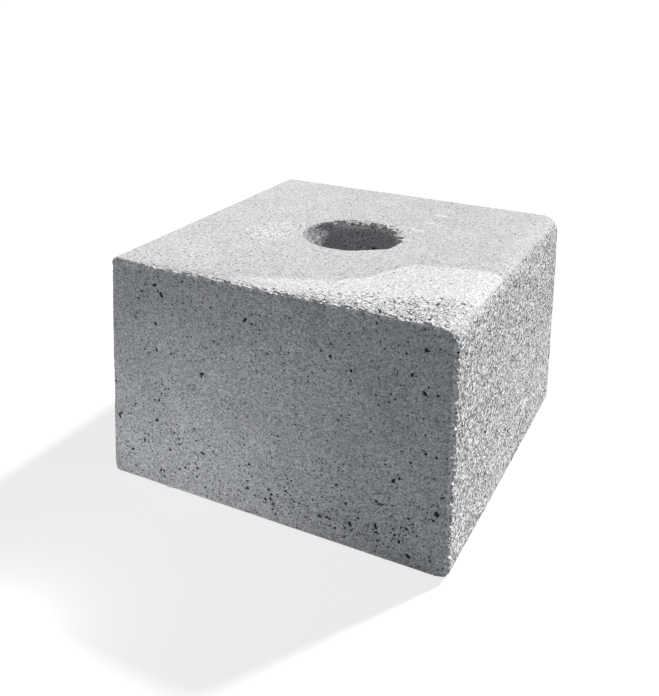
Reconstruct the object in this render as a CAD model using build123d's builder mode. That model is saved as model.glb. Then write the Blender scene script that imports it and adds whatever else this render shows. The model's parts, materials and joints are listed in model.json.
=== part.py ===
from build123d import *
import os

os.makedirs("parts", exist_ok=True)

# Concrete base block for a bicycle rack: one solid casting that a rack post stands in.
# Origin at the centre of the underside, +X to the right along the front face, +Y to the
# back, +Z up. Millimetres.

# Body: poured upside down in a tapered mould, so every side leans in towards the top
base_width = 400.0
base_depth = 400.0
height = 255.0
draft_angle = 3.4

# Edges that run from front to back: the right-hand top edge is rolled wide, the others are eased
right_top_radius = 19.0
left_top_radius = 6.0
right_foot_radius = 9.0
left_foot_radius = 5.0

# Edges all round the front and back faces, worn to the size of the grit
arris_radius = 4.0

# Post hole: left by a round former that stood right through the mould
bore_diameter = 104.0
top_rim_radius = 4.0
foot_rim_radius = 2.0


def depth_edges(level):
    """Edges from front to back, left to right, at the foot (level 0) or the top (level -1)."""
    return base_block.edges().filter_by(Axis.Y).group_by(Axis.Z)[level].sort_by(Axis.X)


def bore_edges():
    """The two round edges of the post hole, foot first."""
    circles = base_block.edges().filter_by(GeomType.CIRCLE)
    return circles.filter_by(lambda edge: edge.is_closed).sort_by(Axis.Z)


with BuildPart() as base_block:
    with BuildSketch(Plane.XY):
        Rectangle(base_width, base_depth)
    extrude(amount=height, taper=draft_angle)

    fillet(depth_edges(-1)[-1], radius=right_top_radius)
    fillet(depth_edges(-1)[0], radius=left_top_radius)
    fillet(depth_edges(0)[-1], radius=right_foot_radius)
    fillet(depth_edges(0)[0], radius=left_foot_radius)

    end_faces = base_block.faces().sort_by(Axis.Y)
    fillet(end_faces[0].edges() + end_faces[-1].edges(), radius=arris_radius)

    with Locations((0, 0, height)):
        Hole(radius=bore_diameter / 2)
    fillet(bore_edges()[-1], radius=top_rim_radius)
    fillet(bore_edges()[0], radius=foot_rim_radius)

base_block.part.label = "base_block"
export_step(base_block.part, "parts/base_block.step")
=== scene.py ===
import itertools
import json
import math

import bmesh
import bpy
import numpy as np
from mathutils import Matrix, Vector, kdtree
from mathutils.bvhtree import BVHTree


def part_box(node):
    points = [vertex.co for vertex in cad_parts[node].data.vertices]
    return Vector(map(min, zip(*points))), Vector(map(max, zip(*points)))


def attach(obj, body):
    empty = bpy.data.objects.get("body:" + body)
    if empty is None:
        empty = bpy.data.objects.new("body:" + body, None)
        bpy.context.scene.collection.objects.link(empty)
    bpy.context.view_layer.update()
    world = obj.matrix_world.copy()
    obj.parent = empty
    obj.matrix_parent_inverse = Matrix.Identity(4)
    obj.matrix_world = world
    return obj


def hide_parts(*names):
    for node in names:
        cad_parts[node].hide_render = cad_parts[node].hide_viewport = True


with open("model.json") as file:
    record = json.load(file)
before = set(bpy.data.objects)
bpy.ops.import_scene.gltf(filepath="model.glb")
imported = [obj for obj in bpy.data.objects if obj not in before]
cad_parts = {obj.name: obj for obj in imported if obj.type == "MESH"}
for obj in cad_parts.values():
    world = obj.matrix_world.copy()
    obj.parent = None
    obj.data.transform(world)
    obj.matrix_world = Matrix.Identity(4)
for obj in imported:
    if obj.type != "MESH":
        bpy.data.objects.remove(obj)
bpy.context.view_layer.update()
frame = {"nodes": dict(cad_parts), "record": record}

# The block as the frame has it. All lengths are in metres. A pair of numbers that fades something
# is where the fade starts and where it ends, and two more are the values at its start and end.
NODE = "base_block"
MM = 0.001
cad_block = frame["nodes"][NODE]
cad_low, cad_high = (np.array(corner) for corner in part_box(NODE))
TOP = cad_high[2]
post_hole = next(m for m in frame["record"]["mounts"] if m["name"] == "post_hole")
HOLE_RADIUS = post_hole["dims"]["r_mm"] * MM
HOLE_CENTRE = np.array(post_hole["pos_m"][:2])


# Noise and fades

class Noise:
    """Smooth random values in space between -1 and 1, the same on every run."""

    CELLS = 61

    def __init__(self, seed):
        random = np.random.default_rng(seed)
        self.table = random.uniform(-1, 1, (self.CELLS,) * 3)

    def __call__(self, points, wavelength):
        grid = np.asarray(points) / wavelength
        low = np.floor(grid).astype(int)
        part = grid - low
        part = part * part * (3 - 2 * part)
        value = np.zeros(len(grid))
        for corner in itertools.product((0, 1), repeat=3):
            share = np.prod(np.where(corner, part, 1 - part), axis=1)
            index = (low + corner) % self.CELLS
            value += share * self.table[index[:, 0], index[:, 1], index[:, 2]]
        return value

    def layered(self, points, wavelength, layers=3):
        """Several layers, each half as long and half as strong as the one before."""
        total = sum(self(points, wavelength / 2**k) / 2**k for k in range(layers))
        return total / sum(1 / 2**k for k in range(layers))


def ramp(value, start, end):
    """0 before start, 1 after end, and smooth between them. start may be the larger."""
    t = np.clip((value - start) / (end - start), 0, 1)
    return t * t * (3 - 2 * t)


# Where a point lies on the block

def flat_faces(mesh, count=6, digits=3):
    """The block's flat faces, largest first: outward normals and distances from the origin."""
    areas = {}
    for face in mesh.polygons:
        key = tuple(round(c, digits) for c in face.normal)
        area = areas.get(key, (0, 0))[0]
        areas[key] = (area + face.area, face.normal.dot(face.center))
    largest = sorted(areas, key=lambda key: -areas[key][0])[:count]
    return np.array(largest), np.array([areas[key][1] for key in largest])


PLANE_NORMALS, PLANE_DISTANCES = flat_faces(cad_block.data)


def arris_distance(points):
    """How far each surface point is from the nearest edge of the sharp-edged block."""
    below = PLANE_DISTANCES - points @ PLANE_NORMALS.T
    return np.sort(below, axis=1)[:, 1]


def hole_distance(points):
    """Distance from the axis of the post hole."""
    return np.hypot(*(points[:, :2] - HOLE_CENTRE).T)


def hole_turn(points):
    """Direction from the axis of the post hole, in degrees from +X."""
    offset = points[:, :2] - HOLE_CENTRE
    return np.degrees(np.arctan2(offset[:, 1], offset[:, 0]))


def lip_distance(points):
    """Distance from the sharp lip that the post hole would have at the top."""
    return np.hypot(hole_distance(points) - HOLE_RADIUS, TOP - points[:, 2])


def foot_distance(points):
    """Distance from the sharp rim that the post hole would have at the underside."""
    return np.hypot(hole_distance(points) - HOLE_RADIUS, points[:, 2])


# The far stretch of the post hole's lip is the most crumbled. It lies round this direction, in
# degrees from +X, and the cosine of the angle from it fades the wear in.
FAR_LIP = 66.0
FAR_OUTLINE = (0.3, 0.7)
FAR_CRUMBS = (0.15, 0.5)


def far_lip(points, fade):
    """1 on the far stretch of the lip, round FAR_LIP."""
    return ramp(np.cos(np.radians(hole_turn(points) - FAR_LIP)), *fade)


# Rough places on the top: a strip along the front that widens to the right, ahead of the line
# y = WORN_SLOPE * x + WORN_START, and the middle and half sizes of a patch left of the hole
WORN_SLOPE = 0.36
WORN_START = -186 * MM
WORN_PATCH = (-84 * MM, -25 * MM)
WORN_PATCH_SIZE = (32 * MM, 48 * MM)

# The front face's edges are the most worn: everything in front of this plane
FRONT_WEAR = -0.17

# Air holes: cast in against the mould, so the sides have the most, above all low down. Clusters
# of them are strewn over the sides, over the top and over the top's rough places.
PIT_SEED = 11
SIDE_CLUSTERS = 360
TOP_CLUSTERS = 16
WORN_CLUSTERS = 95
MOST_IN_CLUSTER = 4
CLUSTER_SPREAD = 5.5 * MM
WORN_SPREAD = 11.0 * MM
SMALLEST_PIT = 0.65 * MM
LARGEST_PIT = 1.9 * MM
SIZE_POWER = 2.4
TOP_PIT_SCALE = 0.6
WORN_PIT_SCALE = 0.72

# Where they lie: how upright a face has to be, how far the hole's walls reach, and how the
# crowd grows low on the sides, in patches, and in each rough place of the top
SIDE_STEEPNESS = 0.3
TOP_FLATNESS = 0.9
CLEAR_OF_WALL = 1.5
CLEAR_OF_LIP = 9 * MM
HIGH_CROWD = 0.3
LOW_CROWD = 1.9
LOW_HALF = (TOP / 2, 0.0)
PATCHES = 0.9
PATCHES_LENGTH = 60 * MM
TOP_CROWD = (-90 * MM, -110 * MM)
STRIP_START = (-8 * MM, 4 * MM)
STRIP_LEFT_END = (-0.08, 0.02)
STRIP_CROWD = 7
PATCH_EDGE = (1.0, 0.5)
PATCH_CROWD = 0.8

# Their shape: depth against radius, how far each is drawn out, the raggedness of the rim, and
# the bowl's fade, in radii
PIT_DEPTHS = (0.8, 1.4)
PIT_STRETCHES = (1.0, 2.1)
PIT_RIM_SEED = 5
PIT_RAGGED = 0.45
PIT_RAGGED_LENGTH = 2.2 * MM
PIT_REACH = 1.5
PIT_BOWL = (1.0, 0.45)
PIT_RIM = (1.0, 0.8)


class Pits:
    """Air holes on the surface: centres, radii, depths and how far each is drawn out."""

    def __init__(self, centres, normals, radii, random):
        self.centres = centres
        self.radii = radii
        count = len(radii)
        self.depths = radii * random.uniform(*PIT_DEPTHS, count)
        self.stretch = random.uniform(*PIT_STRETCHES, count)
        along = np.cross(normals, random.normal(size=(count, 3)))
        self.along = along / np.linalg.norm(along, axis=1)[:, None]
        self.tree = tree_of(centres)


def tree_of(points):
    tree = kdtree.KDTree(len(points))
    for index, point in enumerate(points):
        tree.insert(point, index)
    tree.balance()
    return tree


def face_values(mesh, name, width):
    flat = np.empty(len(mesh.polygons) * width)
    mesh.polygons.foreach_get(name, flat)
    return flat.reshape(-1, width)


def pit_crowds(centre, normal):
    """How crowded the air holes are on each face: on the sides, the top and its rough places."""
    side = abs(normal[:, 2]) < SIDE_STEEPNESS
    side = side & (hole_distance(centre) > HOLE_RADIUS * CLEAR_OF_WALL)
    top = (normal[:, 2] > TOP_FLATNESS) & (hole_distance(centre) > HOLE_RADIUS + CLEAR_OF_LIP)
    low_down = HIGH_CROWD + LOW_CROWD * ramp(centre[:, 2], *LOW_HALF)
    ahead = WORN_SLOPE * centre[:, 0] + WORN_START - centre[:, 1]
    strip = ramp(ahead, *STRIP_START) * ramp(centre[:, 0], *STRIP_LEFT_END)
    from_patch = np.hypot(*((centre[:, :2] - WORN_PATCH) / WORN_PATCH_SIZE).T)
    patch = ramp(from_patch, *PATCH_EDGE)
    worn = STRIP_CROWD * strip + PATCH_CROWD * patch
    return side * low_down, top * ramp(ahead, *TOP_CROWD), top * worn


def scatter_pits(mesh):
    """Clusters of air holes on the block's faces."""
    random = np.random.default_rng(PIT_SEED)
    centre = face_values(mesh, "center", 3)
    normal = face_values(mesh, "normal", 3)
    area = face_values(mesh, "area", 1)[:, 0]
    side, top, worn = pit_crowds(centre, normal)
    patchy = 1 + PATCHES * Noise(PIT_SEED).layered(centre, PATCHES_LENGTH)
    kinds = (
        (side, SIDE_CLUSTERS, 1.0, CLUSTER_SPREAD),
        (top, TOP_CLUSTERS, TOP_PIT_SCALE, WORN_SPREAD),
        (worn, WORN_CLUSTERS, WORN_PIT_SCALE, WORN_SPREAD),
    )
    centres, normals, radii = [], [], []
    for crowd, clusters, scale, reach in kinds:
        weight = area * crowd * patchy
        picked = random.choice(len(area), clusters, p=weight / weight.sum())
        picked = np.repeat(picked, random.integers(1, MOST_IN_CLUSTER + 1, clusters))
        spread = random.normal(scale=reach, size=(len(picked), 3))
        spread -= normal[picked] * np.sum(spread * normal[picked], axis=1)[:, None]
        centres.append(centre[picked] + spread)
        normals.append(normal[picked])
        size = SMALLEST_PIT / random.power(SIZE_POWER, len(picked))
        radii.append(scale * np.clip(size, SMALLEST_PIT, LARGEST_PIT))
    return Pits(np.vstack(centres), np.vstack(normals), np.concatenate(radii), random)


# The casting's mesh: edge lengths, each half of the one before, and how far from the block's
# edges, the lip and the foot rim of the hole each of them reaches
PLAIN = 7.2 * MM
CLOSE = PLAIN / 2
FINE = CLOSE / 2
FINEST = FINE / 2
CLOSE_TO_ARRIS = 12 * MM
FINE_AT_ARRIS = 6 * MM
FINEST_AT_FRONT = 7.5 * MM
FOOT_EDGES = 12 * MM
CLOSE_TO_LIP = 26 * MM
FINEST_AT_LIP = 8 * MM
CLOSE_TO_FOOT = 14 * MM
FINE_AT_FOOT = 5 * MM
TOO_COARSE = 1.4

# Refining goes in passes: how far round an air hole each reaches, and to what length
PIT_PASSES = ((5.0 * MM, CLOSE), (2.4 * MM, FINE), (1.0 * MM, FINEST))


def add_object(name, data):
    thing = bpy.data.objects.new(name, data)
    bpy.context.scene.collection.objects.link(thing)
    return thing


def even_quads():
    """The frame's block as a closed mesh of even quads."""
    draft = add_object("draft", cad_block.data.copy())
    remesh = draft.modifiers.new("remesh", "REMESH")
    remesh.mode = "VOXEL"
    remesh.voxel_size = PLAIN
    depsgraph = bpy.context.evaluated_depsgraph_get()
    mesh = bpy.data.meshes.new_from_object(draft.evaluated_get(depsgraph))
    bpy.data.objects.remove(draft)
    mesh.materials.clear()
    return mesh


def wanted_length(points):
    """The edge length that the surface needs at each point, air holes left aside."""
    length = np.full(len(points), PLAIN)
    arris = arris_distance(points)
    lip = lip_distance(points)
    foot = foot_distance(points)
    high = points[:, 2] > FOOT_EDGES
    front = points[:, 1] < FRONT_WEAR
    length[(arris < CLOSE_TO_ARRIS) | (lip < CLOSE_TO_LIP)] = CLOSE
    length[(arris < FINE_AT_ARRIS) & high] = FINE
    length[(arris < FINEST_AT_FRONT) & front & high] = FINEST
    length[lip < FINEST_AT_LIP] = FINEST
    length[foot < CLOSE_TO_FOOT] = CLOSE
    length[foot < FINE_AT_FOOT] = FINE
    return length


def near_pits(points, pits, margin):
    """True for each point that lies within a pit or this close to one."""
    near = np.zeros(len(points), bool)
    for index, point in enumerate(points):
        _, nearest, distance = pits.tree.find(point)
        near[index] = distance < pits.radii[nearest] * pits.stretch[nearest] + margin
    return near


def refine(grid, surface, pits):
    """Halves the faces that are too coarse for what they show, pass after pass."""
    for margin, pit_length in PIT_PASSES:
        faces = list(grid.faces)
        points = np.array([face.calc_center_median() for face in faces])
        size = np.sqrt([face.calc_area() for face in faces])
        wanted = wanted_length(points)
        near = near_pits(points, pits, margin)
        wanted[near] = np.minimum(wanted[near], pit_length)
        coarse = size > TOO_COARSE * wanted
        edges = {edge for face, yes in zip(faces, coarse) if yes for edge in face.edges}
        bmesh.ops.subdivide_edges(grid, edges=list(edges), cuts=1, use_grid_fill=True)
        for vertex in grid.verts:
            vertex.co = surface.find_nearest(vertex.co)[0]


def relax(mesh, rounds=2, share=0.5):
    """Evens the mesh out, and smooths the facets of the frame's round edges."""
    ends = np.empty(len(mesh.edges) * 2, int)
    mesh.edges.foreach_get("vertices", ends)
    first, second = ends.reshape(-1, 2).T
    points = vertex_values(mesh, "co")
    degree = np.bincount(ends, minlength=len(points))[:, None]
    for _ in range(rounds):
        total = np.zeros_like(points)
        np.add.at(total, first, points[second])
        np.add.at(total, second, points[first])
        points += share * (total / degree - points)
    points[:, 2] = np.clip(points[:, 2], 0, TOP)
    set_points(mesh, points)


def vertex_values(mesh, name):
    flat = np.empty(len(mesh.vertices) * 3)
    mesh.vertices.foreach_get(name, flat)
    return flat.reshape(-1, 3)


def set_points(mesh, points):
    mesh.vertices.foreach_set("co", points.ravel())
    mesh.update()


def plain_casting():
    """The block's surface, finer at its edges, lip and air holes, before any wear."""
    mesh = even_quads()
    pits = scatter_pits(mesh)
    surface = BVHTree.FromPolygons(
        [v.co for v in cad_block.data.vertices],
        [list(f.vertices) for f in cad_block.data.polygons],
    )
    grid = bmesh.new()
    grid.from_mesh(mesh)
    refine(grid, surface, pits)
    bmesh.ops.triangulate(grid, faces=[f for f in grid.faces if len(f.verts) > 4])
    grid.to_mesh(mesh)
    grid.free()
    relax(mesh)
    return mesh, pits


# The lip's worn outline

# Radius of the lip of the post hole by direction, in degrees and millimetres. It is worn wide
# on the left and stayed sharp near the front, where a stretch of it is straight, at a distance
# from the axis. The hole's wall lies inside this outline by the roll.
LIP_RADII = (
    (-180, 58.5), (-145, 57.5), (-115, 54.5), (-90, 52.5), (-60, 54.0), (-25, 58.0),
    (0, 55.0), (30, 54.0), (60, 56.0), (100, 57.0), (150, 57.0), (180, 58.5),
)
STRAIGHT_LIP_MIDDLE = -53.0
STRAIGHT_LIP_DISTANCE = 51.7 * MM
LEAST_COSINE = 0.1
PLAIN_LIP = HOLE_RADIUS + 4 * MM
LIP_ROLL = 1.5 * MM
FAR_LIP_ROLL = 7.5 * MM
LIP_DEPTH = (22 * MM, 4 * MM)
LIP_REACH = (24 * MM, 0)


def worn_outline(turn):
    """Radius of the worn lip in each direction."""
    angles, radii = np.array(LIP_RADII).T
    outline = np.interp(turn, angles, radii * MM)
    aside = np.radians(turn - STRAIGHT_LIP_MIDDLE)
    straight = STRAIGHT_LIP_DISTANCE / np.maximum(np.cos(aside), LEAST_COSINE)
    return np.minimum(outline, straight)


def shape_lip(points):
    """Moves the lip of the post hole from a plain circle to its worn outline."""
    offset = points[:, :2] - HOLE_CENTRE
    radius = hole_distance(points)
    outline = worn_outline(hole_turn(points))
    far = far_lip(points, FAR_OUTLINE)
    wall = outline - LIP_ROLL * (1 - far) - FAR_LIP_ROLL * far
    rolled = np.clip((radius - HOLE_RADIUS) / (PLAIN_LIP - HOLE_RADIUS), 0, 1)
    shift = (wall - HOLE_RADIUS) * (1 - rolled) + (outline - PLAIN_LIP) * rolled
    shift *= ramp(TOP - points[:, 2], *LIP_DEPTH)
    shift *= ramp(radius - PLAIN_LIP, *LIP_REACH)
    moved = points.copy()
    moved[:, :2] += offset / np.maximum(radius, HOLE_RADIUS / 2)[:, None] * shift[:, None]
    return moved


# Relief

# Unevenness of the faces. Each kind of relief has a height and a wavelength.
RELIEF_SEED = 3
TOP_FACING = (0.4, 0.8)
UNDER_FACING = (-0.4, -0.8)
UNDER_HEIGHT = 3 * MM
SIDE_WAVES = 0.25 * MM
TOP_WAVES = 0.1 * MM
LONG_WAVES = 90 * MM
SHORT_WAVES = 16 * MM

# Chips and smaller bites out of the edges: most at the front, and calmer at its left end and down
# its upright edges
FRONT_FADE = (-0.1, FRONT_WEAR)
LEFT_END = (-0.15, -0.18)
LEFT_END_HEIGHT = (TOP, TOP - 15 * MM)
UPRIGHT_EDGE = (TOP - 12 * MM, TOP - 25 * MM)
ARRIS_REACH = (6.5 * MM, 1.0 * MM)
PLAIN_RAGGED = 0.25
FRONT_RAGGED = 0.75
LEFT_CALM = 0.7
UPRIGHT_CALM = 0.35
CHIP_HEIGHT = 1.2 * MM
CHIP_LENGTH = 6 * MM
CHIP_FADE = (0.0, 0.55)
BITE_HEIGHT = 0.9 * MM
BITE_LENGTH = 2.6 * MM

# Grains that stand or are missing along the front's top and right edges. The level is how much
# of each grain's height lies above the plain surface.
EDGE_GRAIN_REACH = (8.5 * MM, 4 * MM)
EDGE_GRAIN_LENGTH = 2.8 * MM
EDGE_GRAIN_FADE = (-0.25, 0.35)
EDGE_GRAIN_LEVEL = 0.3
UPRIGHT_GRAINS = 2.3 * MM
UPRIGHT_GRAINS_END = (0.1, 0.15)
TOP_GRAINS = 1.5 * MM
TOP_GRAINS_END = (-0.18, -0.08)

# The top sinks towards the front edge
ROLL_DEPTH = 1.5 * MM
ROLL_REACH = (20 * MM, 2 * MM)
ROLL_LEFT_END = (-0.2, -0.1)

# Crumbs out of the far lip, and waves all round it
LIP_CRUMB_REACH = (7.5 * MM, 2.5 * MM)
LIP_CRUMBS = 2.6 * MM
LIP_CRUMB_LENGTH = 3.6 * MM
LIP_CRUMB_FADE = (-0.3, 0.5)
LIP_WAVES = 0.35 * MM
LIP_WAVES_LENGTH = 3.1 * MM


class Wear:
    """How far the worn surface lies inside the plain one, by what wears it.

    Where a grain stands out it is less than 0.
    """

    def __init__(self, points, normals):
        self.points = points
        self.x, self.y, self.z = points.T
        self.noise = Noise(RELIEF_SEED)
        self.top = ramp(normals[:, 2], *TOP_FACING)
        self.under = ramp(normals[:, 2], *UNDER_FACING) * (self.z < UNDER_HEIGHT)
        self.arris = arris_distance(points)
        self.front = ramp(self.y, *FRONT_FADE)
        self.upright = ramp(self.z, *UPRIGHT_EDGE)

    def uneven(self, wavelength, layers=2):
        return self.noise.layered(self.points, wavelength, layers)

    def faces(self):
        """Long and short waves over the flat faces."""
        side = (1 - self.top) * (1 - self.under)
        long = (SIDE_WAVES * side + TOP_WAVES * self.top) * self.uneven(LONG_WAVES)
        return long + SIDE_WAVES * side * self.uneven(SHORT_WAVES)

    def chips(self):
        """Chips and bites out of the edges, most of them round the front face."""
        left = ramp(self.x, *LEFT_END) * ramp(self.z, *LEFT_END_HEIGHT)
        ragged = PLAIN_RAGGED + FRONT_RAGGED * self.front * (1 - LEFT_CALM * left)
        ragged *= 1 - UPRIGHT_CALM * self.upright
        chips = CHIP_HEIGHT * ramp(self.uneven(CHIP_LENGTH, 3), *CHIP_FADE)
        bites = BITE_HEIGHT * self.uneven(BITE_LENGTH)
        return ramp(self.arris, *ARRIS_REACH) * (1 - self.under) * ragged * (chips + bites)

    def grains(self):
        """Single grains that stand or are missing along the front's top and right edges."""
        right_end = UPRIGHT_GRAINS * self.upright * ramp(self.x, *UPRIGHT_GRAINS_END)
        top_edge = TOP_GRAINS * (1 - self.upright) * ramp(self.x, *TOP_GRAINS_END)
        grains = ramp(self.uneven(EDGE_GRAIN_LENGTH), *EDGE_GRAIN_FADE) - EDGE_GRAIN_LEVEL
        grains = grains * ramp(self.arris, *EDGE_GRAIN_REACH)
        return (right_end + top_edge) * grains * self.front * (1 - self.under)

    def roll(self):
        """The top sinks a little towards the front edge."""
        roll = ramp(self.arris, *ROLL_REACH) * self.front * self.top
        return ROLL_DEPTH * roll * ramp(self.x, *ROLL_LEFT_END)

    def lip(self):
        """Crumbs out of the far stretch of the lip, and waves all round it."""
        crumbs = LIP_CRUMBS * ramp(self.uneven(LIP_CRUMB_LENGTH), *LIP_CRUMB_FADE)
        crumbs = crumbs * far_lip(self.points, FAR_CRUMBS)
        waves = LIP_WAVES * self.uneven(LIP_WAVES_LENGTH)
        return ramp(lip_distance(self.points), *LIP_CRUMB_REACH) * (crumbs + waves)

    def depth(self):
        return self.faces() + self.chips() + self.grains() + self.roll() + self.lip()


def sink_pits(points, pits):
    """Depth of the air holes at each point, and how far inside one it lies, 0 to 1."""
    noise = Noise(PIT_RIM_SEED)
    ragged = 1 + PIT_RAGGED * noise.layered(points, PIT_RAGGED_LENGTH, 2)
    tree = tree_of(points)
    depth = np.zeros(len(points))
    inside = np.zeros(len(points))
    for centre, radius, deep, stretch, along in zip(
        pits.centres, pits.radii, pits.depths, pits.stretch, pits.along
    ):
        reach = PIT_REACH * radius * stretch
        near = [index for _, index, _ in tree.find_range(centre, reach)]
        if not near:
            continue
        offset = points[near] - centre
        lengthwise = offset @ along
        across = np.sqrt(np.maximum(0, np.sum(offset**2, axis=1) - lengthwise**2))
        distance = np.hypot(lengthwise / stretch, across) / radius * ragged[near]
        depth[near] = np.maximum(depth[near], deep * ramp(distance, *PIT_BOWL))
        inside[near] = np.maximum(inside[near], ramp(distance, *PIT_RIM))
    return depth, inside


# Masks that the material reads, one value for each vertex

# The smooth skin lies on faces that look up, and the bore is what lies inside the lip
SKIN_FACING = (0.58, 0.7)
BORE_EDGE = (60 * MM, 56 * MM)
BORE_FACING = (0.9, 0.5)

# Where it is sandy: the right face and less so the back, and some of the edges and the lip
FACE_TURN = (0.4, 0.6)
BELOW_ROLL = (TOP - 10 * MM, TOP - 35 * MM)
ROLL_SANDY = 0.55
BACK_SANDY = 0.15
ARRIS_SANDY = 0.55
SANDY_ARRIS_REACH = (7 * MM, 3 * MM)
SANDY_ARRIS_START = (-0.19, -0.17)
LIP_SANDY = 0.2
SANDY_LIP_REACH = (11 * MM, 7 * MM)
OUTSIDE_HOLE = (58 * MM, 61 * MM)

# Where the crumbled edges get a painted highlight
CRUMBLED_FRONT = (-0.15, FRONT_WEAR)
ABOVE_FOOT = (5 * MM, 15 * MM)
CRUMBLED_ARRIS_REACH = (5.5 * MM, 2 * MM)
CRUMBLED_LIP_REACH = (9 * MM, 6 * MM)


# The colour makes sandy places lighter and warmer, partly as painted sunlight
def sandiness(points, normals):
    """1 where the face is sandy: the right face, and less so the back and the worn edges."""
    roll = ROLL_SANDY + (1 - ROLL_SANDY) * ramp(points[:, 2], *BELOW_ROLL)
    right = ramp(normals[:, 0], *FACE_TURN) * roll
    back = BACK_SANDY * ramp(normals[:, 1], *FACE_TURN)
    arris = ramp(arris_distance(points), *SANDY_ARRIS_REACH)
    arris = ARRIS_SANDY * arris * ramp(points[:, 0], *SANDY_ARRIS_START)
    lip = LIP_SANDY + (1 - LIP_SANDY) * far_lip(points, FAR_CRUMBS)
    lip = lip * ramp(lip_distance(points), *SANDY_LIP_REACH)
    outside = ramp(hole_distance(points), *OUTSIDE_HOLE)
    return np.maximum(outside * np.maximum(np.maximum(right, back), arris), lip)


def crumbling(points):
    """1 on the crumbled edges, round the front face's top and right and the far lip, which the
    colour gives a painted highlight.
    """
    front = ramp(points[:, 1], *CRUMBLED_FRONT) * ramp(points[:, 2], *ABOVE_FOOT)
    left = ramp(points[:, 0], *LEFT_END)
    edge = ramp(arris_distance(points), *CRUMBLED_ARRIS_REACH) * front * (1 - left)
    lip = ramp(lip_distance(points), *CRUMBLED_LIP_REACH) * far_lip(points, FAR_CRUMBS)
    return np.maximum(edge, lip)


def vertex_masks(points, normals, pit):
    """The masks, by the names that Maps reads them by."""
    bore = ramp(hole_distance(points), *BORE_EDGE) * ramp(normals[:, 2], *BORE_FACING)
    return {
        "skin": ramp(normals[:, 2], *SKIN_FACING),
        "pit": pit,
        "bore": bore,
        "sandy": sandiness(points, normals),
        "edge": crumbling(points),
    }


def casting():
    """The block as one closed, worn and pitted mesh that takes the place of the CAD node."""
    mesh, pits = plain_casting()
    points = shape_lip(vertex_values(mesh, "co"))
    set_points(mesh, points)
    normals = vertex_values(mesh, "normal")
    pit_depth, pit = sink_pits(points, pits)
    depth = Wear(points, normals).depth() + pit_depth
    moved = points - normals * depth[:, None]
    set_points(mesh, np.clip(moved, cad_low, cad_high))
    for name, values in vertex_masks(points, normals, pit).items():
        attribute = mesh.attributes.new(name, "FLOAT", "POINT")
        attribute.data.foreach_set("value", values.astype(np.float32))
    mesh.shade_smooth()
    return add_object("cast_block", mesh)


# Nodes

class Nodes:
    """Short calls that add and link the nodes of one material or world."""

    def __init__(self, owner):
        owner.use_nodes = True
        self.tree = owner.node_tree
        self.tree.nodes.clear()

    def node(self, kind, inputs=(), **settings):
        node = self.tree.nodes.new("ShaderNode" + kind)
        for key, value in settings.items():
            setattr(node, key, value)
        for key, value in dict(inputs).items():
            if isinstance(value, bpy.types.NodeSocket):
                self.tree.links.new(value, node.inputs[key])
            else:
                node.inputs[key].default_value = value
        return node

    def add(self, kind, inputs=(), output=0, **settings):
        return self.node(kind, inputs, **settings).outputs[output]

    def math(self, operation, *values):
        return self.add("Math", dict(enumerate(values)), operation=operation)

    def times(self, first, *others):
        for other in others:
            first = self.math("MULTIPLY", first, other)
        return first

    def noise(self, where, wavelength, detail, roughness=0.5):
        inputs = dict(Vector=where, Scale=1 / wavelength, Detail=detail, Roughness=roughness)
        return self.add("TexNoise", inputs)

    def cells(self, where, size):
        """A random colour for each cell."""
        return self.add("TexVoronoi", {"Vector": where, "Scale": 1 / size}, output=1)

    def between(self, value, start, end, low=0.0, high=1.0):
        """low before start, high after end, and smooth between them."""
        inputs = {0: value, 1: start, 2: end, 3: low, 4: high}
        return self.add("MapRange", inputs, interpolation_type="SMOOTHSTEP")

    def shaded(self, value, mask, high, low=1.0):
        """value times low where the mask is 0, and times high where it is 1."""
        return self.times(value, self.between(mask, 0, 1, low, high))

    def mix(self, share, first, second):
        inputs = {0: share, 6: first, 7: second}
        return self.add("Mix", inputs, output=2, data_type="RGBA")

    def blend(self, share, first, second):
        return self.add("Mix", {0: share, 2: first, 3: second}, data_type="FLOAT")

    def vector(self, operation, first, second=None, scale=None):
        inputs = {0: first}
        if second is not None:
            inputs[1] = second
        if scale is not None:
            inputs[3] = scale
        return self.add("VectorMath", inputs, operation=operation)

    def centred(self, value):
        """A value from 0 to 1 moved to lie about 0."""
        return self.math("SUBTRACT", value, 0.5)

    def centred_vector(self, value):
        return self.vector("SUBTRACT", value, (0.5, 0.5, 0.5))

    def channel(self, colour, output=0):
        """One channel of a colour, red unless another is asked for."""
        return self.add("SeparateColor", {0: colour}, output=output)

    def attribute(self, name):
        return self.add("Attribute", output=2, attribute_name=name)

    def seen(self):
        """1 for rays that show what they hit: from the camera, or through gloss or glass."""
        path = self.node("LightPath").outputs
        gloss_or_glass = self.math("MAXIMUM", path["Is Glossy Ray"], path["Is Transmission Ray"])
        return self.math("MAXIMUM", path["Is Camera Ray"], gloss_or_glass)

    def line(self, x, slope, start):
        """y on a straight line over the top, at each x."""
        return self.math("MULTIPLY_ADD", x, slope, start)

    def ellipse(self, x, y, middle, size):
        """0 at the middle of an ellipse and 1 on its outline, and growing as the square."""
        squares = (
            self.math("POWER", self.math("DIVIDE", self.math("SUBTRACT", at, centre), reach), 2)
            for at, centre, reach in zip((x, y), middle, size)
        )
        return self.math("ADD", *squares)

    def pores(self, where, spacing, share, radius):
        """1 inside round pores strewn through the stuff, share of the cells having one."""
        cells = self.node("TexVoronoi", {"Vector": where, "Scale": 1 / spacing})
        size = radius / spacing
        near = self.between(cells.outputs["Distance"], size, PORE_CORE * size)
        lot = self.channel(cells.outputs["Color"])
        return self.times(near, self.math("LESS_THAN", lot, share))


def grey(value):
    return (value, value, value, 1.0)


# Places on the top. A wobble shifts their borders, by a length or by a share of the size.
STRIP_WOBBLE = 30 * MM
STRIP_FADE = (-8 * MM, 6 * MM)
STRIP_GROWS = (-90 * MM, 0, 0.25, 1.0)
PATCH_WOBBLE = 1.6
PATCH_FADE = (1.1, 0.5, 0, 0.6)

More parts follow.
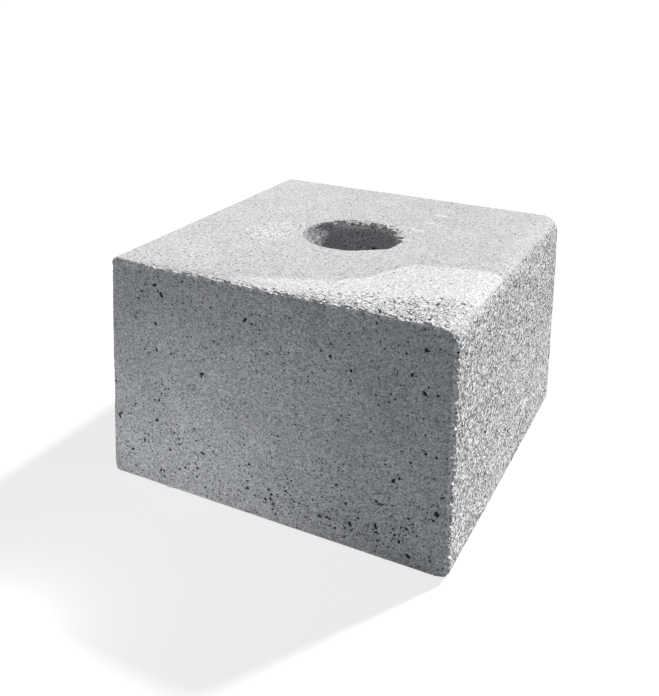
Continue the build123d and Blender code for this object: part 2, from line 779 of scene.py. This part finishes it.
# White paste on the top, in front of a border in three lines, y = slope * x + start: gentle on
# the left, then steep, then gentle again. The skin just behind it is wiped smoother and darker.
PASTE_LEFT = (0.4, -150 * MM)
PASTE_MIDDLE = (2.4, -274 * MM)
PASTE_RIGHT = (0.15, -66 * MM)
PASTE_BEND = 50 * MM
PASTE_WOBBLE = 25 * MM
PASTE_FADE = (-1 * MM, 4 * MM)
PASTE_GROWS = (-0.13, 0.05, 0.2, 1.0)
WIPED_BACK = (-22 * MM, -8 * MM)
WIPED_FRONT = (-8 * MM, 0)

# Short smears of the paste beside the hole: middles, half sizes, and the fade of the border
SMEARS = ((56 * MM, 51 * MM), (58 * MM, 83 * MM), (61 * MM, 116 * MM), (57 * MM, 12 * MM))
SMEAR_SIZE = (8 * MM, 4 * MM)
SMEAR_WOBBLE = 3.0
SMEAR_FADE = (1.3, 0.3)


def worn_places(n, x, y, wobble):
    """Rough places on the top: along the front edge, and a patch left of the hole."""
    edge = n.line(x, WORN_SLOPE, WORN_START)
    ahead = n.math("ADD", n.math("SUBTRACT", edge, y), n.times(wobble, STRIP_WOBBLE))
    strip = n.times(n.between(ahead, *STRIP_FADE), n.between(x, *STRIP_GROWS))
    away = n.math("SQRT", n.ellipse(x, y, WORN_PATCH, WORN_PATCH_SIZE))
    patch = n.between(n.math("MULTIPLY_ADD", wobble, PATCH_WOBBLE, away), *PATCH_FADE)
    return strip, patch


def pale_places(n, x, y, wobble):
    """Paste wiped over the front right of the top with a few smears beside the hole, and how
    far the skin is wiped behind it."""
    left, middle, right = (n.line(x, *line) for line in (PASTE_LEFT, PASTE_MIDDLE, PASTE_RIGHT))
    border = n.math("SMOOTH_MAX", left, middle, PASTE_BEND)
    border = n.math("SMOOTH_MIN", border, right, PASTE_BEND)
    ahead = n.math("SUBTRACT", border, n.math("MULTIPLY_ADD", wobble, PASTE_WOBBLE, y))
    pale = n.times(n.between(ahead, *PASTE_FADE), n.between(x, *PASTE_GROWS))
    wiped = n.math("SUBTRACT", n.between(ahead, *WIPED_BACK), n.between(ahead, *WIPED_FRONT))
    for place in SMEARS:
        away = n.ellipse(x, y, place, SMEAR_SIZE)
        smear = n.between(n.math("MULTIPLY_ADD", wobble, SMEAR_WOBBLE, away), *SMEAR_FADE)
        pale = n.math("MAXIMUM", pale, smear)
    return pale, wiped


# Material

# Noise that shifts borders and mottles the faces: wavelength, detail and roughness
WOBBLE = (22 * MM, 4.0, 0.7)
MOTTLE = (45 * MM, 5.0, 0.65)
NOISE_SPAN = (0.3, 0.7)

# The cells of grit, dust and pores are bent out of their plain shapes by this much
BEND_LENGTH = 2.2 * MM
BEND = 2.0 * MM

# Grain of the concrete, from coarse to fine: sizes, heights, and how much each lightens and
# darkens the colour. Grit lies flat, a little wider than high, and its facets tilt. The grain's
# colour is painted light on its rises and painted shade in its hollows, and the grit's is painted
# sun and shadow on facets that tilt up and down.
GRAIN = 3.4 * MM
GRAIN_HEIGHT = 0.7 * MM
GRAIN_PAINTED_SHADE = 0.08
GRIT = 2.1 * MM
GRIT_FLATNESS = 1.5
SKIN_GRIT_SCALE = 1.5
GRIT_TILT = 1.85
GRIT_PAINTED_LIGHT = 0.3
DUST = 1.1 * MM
DUST_SHAPE = (0.8, 1.2, 1.2)
DUST_SHADE = 0.46
SMOOTH_SIDE = 0.25
SKIN_ROUGHNESS = 0.1
WORN_ROUGHNESS = 0.55

# On the crumbled edges each cell of dust that draws a lot above this is a crumb with a painted
# highlight
LIT_CRUMB_LOT = 0.18

# Small pores that are only drawn, dark out to their core, which is a share of the radius. Their
# darkness is painted shade and dirt in them. Pores and holes have a spacing and a radius, and
# crowd low on the sides. Specks and dots have the share of cells with one between the two.
PORE_CORE = 0.65
PORES = (4.4 * MM, 1.1 * MM)
HOLES = (11.0 * MM, 1.9 * MM)
FEWER_HOLES = 0.2
SPECKS = (2.6 * MM, 0.35, 0.75 * MM)
DOTS = (6.5 * MM, 0.45, 1.3 * MM)
CROWD_HEIGHTS = (0.02, 0.15, 0.75, 0.3)
CROWD_WOBBLE = 1.5
PORE_DEPTH = 0.6 * MM

# Painted shade on the smooth sides: towards the right, towards the top, and how much the wobble
# adds
PAINTED_SHADE_RIGHT = (0.02, 0.14)
PAINTED_SHADE_TOP = (0.15, 0.24, 0, 0.9)
PAINTED_SHADE_WOBBLE = 0.2

# Brightness of the sides
SIDE_SHADES = (0.53, 0.62)
SMOOTH_SHADE = 0.88
# The sandy face is lighter, partly as painted sunlight
SANDY_SUNLIT_SHADE = 1.26
# The sides lighter low down: painted light bounced up from the floor
PAINTED_BOUNCE_SHADES = (0.02, 0.2, 1.14, 0.96)
PAINTED_SHADE_FACTOR = 0.9
BACK_CALM = (0.15, 0.18, 1.0, 0.5)
SANDY_SPECKLE = 0.5
SANDY_CLOSED = 0.75
PORE_SHADE = 0.05
SPECK_SHADE = 0.3
BORE_SHADE = 1.03

# Brightness of the top
TOP_SHADES = (0.56, 0.61)
TOP_ACROSS = (-0.15, -0.02, 1.02, 0.97)
PASTE_SHADE = 1.25
PATCH_SHADE = 1.2
STRIP_SHADE = 0.96
WIPED_SHADE = 0.95
SKIN_SPECKLE = 0.8
WORN_SPECKLE = 1.15
SKIN_SPECK_SHADE = 0.85
DOT_SHADE = 0.15
WORN_PORE_SHADE = 0.5

# Brightness of the crumbled edges on the sides and on the top, which is a painted highlight, and
# inside air holes, which is painted shade and dirt
SIDE_EDGE_HIGHLIGHT = 1.4
TOP_EDGE_HIGHLIGHT = 1.0
SIDE_CRUMB_HIGHLIGHT = 1.5
TOP_CRUMB_HIGHLIGHT = 1.25
BRIGHTEST = 0.92
PIT_SHADES = (0.3, 0.7, 1.0, 0.1)

# Tints, which leave the brightness as it is. The cool tint of the smooth sides is painted shade,
# and the warm tints of the sandy face and of the top's skin are painted sunlight.
PAINTED_SHADE_TINT = (0.985, 0.994, 1.012, 1.0)
PAINTED_SUN_SIDE_TINT = (1.003, 1.0, 0.988, 1.0)
PAINTED_SUN_TOP_TINT = (1.008, 1.0, 0.98, 1.0)
PASTE_TINT = (1.0, 1.0, 0.994, 1.0)

CONCRETE_ROUGHNESS = 0.9
CONCRETE_GLOSS = 0.25


class Maps:
    """Sockets of the concrete: where each kind of it lies, and its grain and pores."""

    def __init__(self, n):
        self.place = n.add("TexCoord", output=3)
        self.x, self.y, self.z = n.node("SeparateXYZ", {0: self.place}).outputs
        names = ("skin", "pit", "bore", "sandy", "edge")
        self.skin, self.pit, self.bore, self.sandy, self.edge = map(n.attribute, names)
        self.wobble = n.centred(n.noise(self.place, *WOBBLE))
        self.mottle = n.noise(self.place, *MOTTLE)
        self.strip, self.patch = worn_places(n, self.x, self.y, self.wobble)
        self.worn = n.math("MAXIMUM", self.strip, self.patch)
        self.pale, self.wiped = pale_places(n, self.x, self.y, self.wobble)
        bend = {"Vector": self.place, "Scale": 1 / BEND_LENGTH, "Detail": 1.0}
        wander = n.centred_vector(n.add("TexNoise", bend, output=1))
        bent = n.vector("ADD", self.place, n.vector("SCALE", wander, scale=BEND))
        self.add_grain(n, bent)
        self.add_pores(n, bent)

    def add_grain(self, n, bent):
        """Grain, grit and dust, and how sandy or rough the surface between them is."""
        self.grain = n.noise(self.place, GRAIN, 1.0)
        flat = n.vector("MULTIPLY", bent, (1, 1, GRIT_FLATNESS))
        flat = n.vector("SCALE", flat, scale=n.blend(self.skin, 1.0, SKIN_GRIT_SCALE))
        grit = n.cells(flat, GRIT)
        self.facet = n.centred_vector(grit)
        # How far each grit facet tilts up
        self.grit_rise = n.centred(n.channel(grit, 2))
        dust = n.cells(n.vector("MULTIPLY", bent, DUST_SHAPE), DUST)
        self.dust_lot = n.centred(n.channel(dust))
        # Painted light on the grain's rises and painted shade in its hollows
        coarse = n.between(self.grain, *NOISE_SPAN, -GRAIN_PAINTED_SHADE, GRAIN_PAINTED_SHADE)
        self.speckle = n.math("MULTIPLY_ADD", self.dust_lot, 2 * DUST_SHADE, coarse)
        self.sand = n.between(self.sandy, 0, 1, SMOOTH_SIDE, 1.0)
        smooth = n.between(self.worn, 0, 1, SKIN_ROUGHNESS, WORN_ROUGHNESS)
        self.roughness = n.blend(self.skin, self.sand, smooth)
        self.lit_crumb = n.times(self.edge, n.math("GREATER_THAN", self.dust_lot, LIT_CRUMB_LOT))

    def add_pores(self, n, bent):
        low_down = n.between(self.z, *CROWD_HEIGHTS)
        crowd = n.math("MULTIPLY_ADD", self.wobble, CROWD_WOBBLE, low_down)
        spacing, radius = PORES
        self.pores = n.pores(bent, spacing, crowd, radius)
        spacing, radius = HOLES
        self.holes = n.pores(bent, spacing, n.math("SUBTRACT", crowd, FEWER_HOLES), radius)
        self.specks = n.pores(bent, *SPECKS)
        self.dots = n.pores(bent, *DOTS)


def painted_shade_places(n, maps):
    """1 where painted shade darkens the smooth sides."""
    painted_shade = n.math("MULTIPLY_ADD", maps.wobble, PAINTED_SHADE_WOBBLE, n.between(maps.x, *PAINTED_SHADE_RIGHT))
    painted_shade = n.math("MAXIMUM", painted_shade, n.between(maps.z, *PAINTED_SHADE_TOP))
    return n.times(painted_shade, n.math("SUBTRACT", 1.0, maps.sandy))


def side_shade(n, maps):
    """Brightness of the sides: sandy on the right, speckled with pores elsewhere, and with
    painted shade and light.
    """
    shade = n.between(maps.mottle, *NOISE_SPAN, *SIDE_SHADES)
    shade = n.shaded(shade, maps.sandy, SANDY_SUNLIT_SHADE, SMOOTH_SHADE)
    shade = n.times(shade, n.between(maps.z, *PAINTED_BOUNCE_SHADES))
    shade = n.shaded(shade, painted_shade_places(n, maps), PAINTED_SHADE_FACTOR)
    calm = n.between(maps.y, *BACK_CALM)
    # Painted sun and shadow: grit lighter as its facet tilts up, darker as it tilts down
    painted_grit_light = n.times(maps.grit_rise, maps.sand, 2 * GRIT_PAINTED_LIGHT)
    fine = n.shaded(maps.speckle, maps.sandy, SANDY_SPECKLE)
    shade = n.times(shade, n.math("MULTIPLY_ADD", n.math("ADD", fine, painted_grit_light), calm, 1.0))
    closed = n.times(n.math("MULTIPLY_ADD", maps.sandy, -SANDY_CLOSED, 1.0), calm)
    # Pores, holes and specks darken the sides with painted shade and dirt
    marks = ((maps.pores, PORE_SHADE), (maps.holes, PORE_SHADE), (maps.specks, SPECK_SHADE))
    for mark, factor in marks:
        shade = n.shaded(shade, n.times(mark, closed), factor)
    return n.shaded(shade, maps.bore, BORE_SHADE)


def top_shade(n, maps):
    """Brightness of the top: pale skin, paste on its front right, and rough places."""
    shade = n.between(maps.mottle, *NOISE_SPAN, *TOP_SHADES)
    shade = n.times(shade, n.between(maps.x, *TOP_ACROSS))
    speckle = n.shaded(maps.speckle, maps.worn, WORN_SPECKLE, SKIN_SPECKLE)
    shade = n.times(shade, n.math("ADD", speckle, 1.0))
    marks = (
        (maps.pale, PASTE_SHADE),
        (maps.patch, PATCH_SHADE),
        (maps.strip, STRIP_SHADE),
        (maps.wiped, WIPED_SHADE),
        # Specks, dots and pores darken the top with painted shade and dirt
        (maps.specks, SKIN_SPECK_SHADE),
        (maps.dots, DOT_SHADE),
        (n.times(maps.pores, maps.worn), WORN_PORE_SHADE),
    )
    for mark, factor in marks:
        shade = n.shaded(shade, mark, factor)
    return shade


def concrete_colour(n, maps):
    """Colour of the concrete, with a painted highlight on crumbs at its edges and air holes
    darkened by painted shade and dirt.
    """
    shade = n.blend(maps.skin, side_shade(n, maps), top_shade(n, maps))
    shade = n.shaded(shade, maps.edge, n.blend(maps.skin, SIDE_EDGE_HIGHLIGHT, TOP_EDGE_HIGHLIGHT))
    shade = n.shaded(shade, maps.lit_crumb, n.blend(maps.skin, SIDE_CRUMB_HIGHLIGHT, TOP_CRUMB_HIGHLIGHT))
    shade = n.math("MINIMUM", shade, BRIGHTEST)
    # Painted shade and dirt inside the air holes
    shade = n.times(shade, n.between(maps.pit, *PIT_SHADES))
    side_tint = n.mix(maps.sandy, PAINTED_SHADE_TINT, PAINTED_SUN_SIDE_TINT)
    top_tint = n.mix(maps.pale, PAINTED_SUN_TOP_TINT, PASTE_TINT)
    return n.vector("MULTIPLY", n.mix(maps.skin, side_tint, top_tint), shade)


def concrete_relief(n, maps):
    """Normals of the grain and pores, and of grit whose facets tilt at random."""
    grain = n.times(maps.grain, GRAIN_HEIGHT)
    height = n.math("SUBTRACT", grain, n.times(maps.pores, PORE_DEPTH))
    height = n.times(height, maps.roughness)
    bump = n.add("Bump", {"Strength": 1.0, "Distance": 1.0, "Height": height})
    tilt = n.vector("SCALE", maps.facet, scale=n.times(maps.roughness, GRIT_TILT))
    return n.vector("NORMALIZE", n.vector("ADD", bump, tilt))


def concrete():
    """Bare cast concrete: a pale smooth skin on top, sandy and pitted sides."""
    material = bpy.data.materials.new("cast_concrete")
    n = Nodes(material)
    maps = Maps(n)
    surface = n.add("BsdfPrincipled", {
        "Base Color": concrete_colour(n, maps),
        "Normal": concrete_relief(n, maps),
        "Roughness": CONCRETE_ROUGHNESS,
        "Specular IOR Level": CONCRETE_GLOSS,
    })
    n.node("OutputMaterial", {"Surface": surface})
    return material


# Stage: floor, light and camera. Turns are in degrees from +X towards +Y.
QUARTER_TURN = 90
FLOOR_SIZE = 60.0
FLOOR_LIT = (0.348, 0.36, 0.382, 1.0)
FLOOR_FAINT = 0.25
FLOOR_GLOW = 0.78
CAMERA_PLACE = (0.3638, -0.7885, 0.5365)
CAMERA_TURN = -63.60
CAMERA_ELEVATION = 25.86
CAMERA_ROLL = 0.86
CAMERA_LENS = 42.33
SENSOR_WIDTH = 36.0
KEY_TURN = 64.0
KEY_ELEVATION = 43.0
KEY_ENERGY = 4.4
KEY_ANGLE = 4.0
FILL_PLACE = (-0.14, -0.49, 0.02)
FILL_TARGET = (-0.09, -0.2, 0.0)
FILL_SIZE = 0.04
FILL_WATTS = 0.36
SKY = (0.93, 0.97, 1.03, 1.0)
SKY_STRENGTH = 0.19


def direction(turn, elevation=0.0):
    """Unit vector that points this way and up by the elevation, both in degrees."""
    turn, elevation = math.radians(turn), math.radians(elevation)
    level = math.cos(elevation)
    return Vector((math.cos(turn) * level, math.sin(turn) * level, math.sin(elevation)))


def floor_material():
    """A pale floor that the camera sees as white, with the object's shadow kept."""
    material = bpy.data.materials.new("floor")
    n = Nodes(material)
    lit = n.add("BsdfDiffuse", {"Color": FLOOR_LIT})
    faint = n.add("BsdfDiffuse", {"Color": grey(FLOOR_FAINT)})
    glow = n.add("Emission", {"Color": grey(1.0), "Strength": FLOOR_GLOW})
    white = n.add("AddShader", {0: faint, 1: glow})
    n.node("OutputMaterial", {"Surface": n.add("MixShader", {0: n.seen(), 1: lit, 2: white})})
    return material


def add_floor():
    half = FLOOR_SIZE / 2
    mesh = bpy.data.meshes.new("floor")
    corners = [(-half, -half, 0), (half, -half, 0), (half, half, 0), (-half, half, 0)]
    mesh.from_pydata(corners, [], [(0, 1, 2, 3)])
    mesh.materials.append(floor_material())
    floor = add_object("floor", mesh)


def add_key():
    """The sun, high behind the block on its right."""
    sun = bpy.data.lights.new("key", "SUN")
    sun.energy = KEY_ENERGY
    sun.angle = math.radians(KEY_ANGLE)
    towards = direction(KEY_TURN, KEY_ELEVATION)
    add_object("key", sun).rotation_euler = towards.to_track_quat("Z", "Y").to_euler()


def add_fill():
    """A small light near the floor that brightens the front face's lower left."""
    area = bpy.data.lights.new("fill", "AREA")
    area.energy = FILL_WATTS
    area.size = FILL_SIZE
    fill = add_object("fill", area)
    fill.location = FILL_PLACE
    aim = Vector(FILL_PLACE) - Vector(FILL_TARGET)
    fill.rotation_euler = aim.to_track_quat("Z", "Y").to_euler()


def add_sky():
    """Dim bluish light from all round, which the camera sees as white."""
    world = bpy.data.worlds.new("world")
    bpy.context.scene.world = world
    n = Nodes(world)
    light = n.add("Background", {"Color": SKY, "Strength": SKY_STRENGTH})
    white = n.add("Background", {"Color": grey(1.0), "Strength": 1.0})
    n.node("OutputWorld", {"Surface": n.add("MixShader", {0: n.seen(), 1: light, 2: white})})


def add_camera():
    data = bpy.data.cameras.new("camera")
    data.lens = CAMERA_LENS
    data.sensor_width = SENSOR_WIDTH
    camera = add_object("camera", data)
    back = direction(CAMERA_TURN, CAMERA_ELEVATION)
    level = direction(CAMERA_TURN + QUARTER_TURN)
    upright = back.cross(level)
    roll = math.radians(CAMERA_ROLL)
    right = math.cos(roll) * level + math.sin(roll) * upright
    upward = back.cross(right)
    turn = Matrix((right, upward, back)).transposed().to_4x4()
    camera.matrix_world = Matrix.Translation(CAMERA_PLACE) @ turn
    bpy.context.scene.camera = camera


bpy.context.scene.view_settings.view_transform = "Standard"
block = casting()
block.data.materials.append(concrete())
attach(block, "root")
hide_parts(NODE)
add_floor()
add_key()
add_fill()
add_sky()
add_camera()
